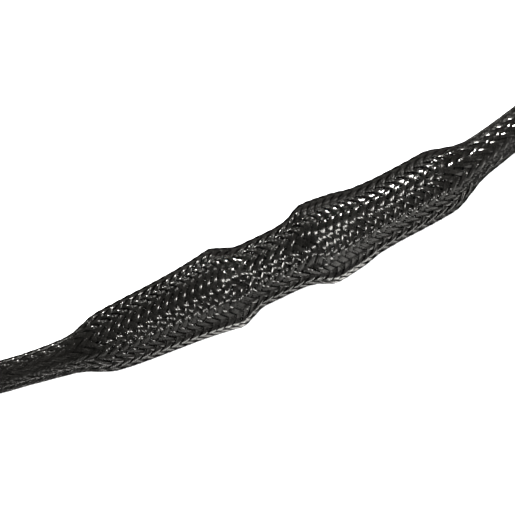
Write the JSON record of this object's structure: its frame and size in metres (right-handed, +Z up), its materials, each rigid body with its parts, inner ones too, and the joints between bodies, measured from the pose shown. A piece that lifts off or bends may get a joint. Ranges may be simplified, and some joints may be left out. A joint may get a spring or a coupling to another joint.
{
  "type": "braided cable sleeve",
  "caption": "Cut length of expandable tubular braid in black plastic monofilament, bunched into soft bulges in its middle, with narrow tails and open ends, to go round wires",
  "frame": {"origin": "On the floor, under the middle of the sleeve's bounding box", "axes": "+X along the sleeve's middle, its longest extent; +Y towards the side that both tails bend to; +Z up"},
  "size_m": [0.2946, 0.0574, 0.0172],
  "materials": {
    "braid": "glossy black monofilament, woven"
  },
  "bodies": {
    "root": {"braided_sleeve": "braid"}
  },
  "joints": []
}
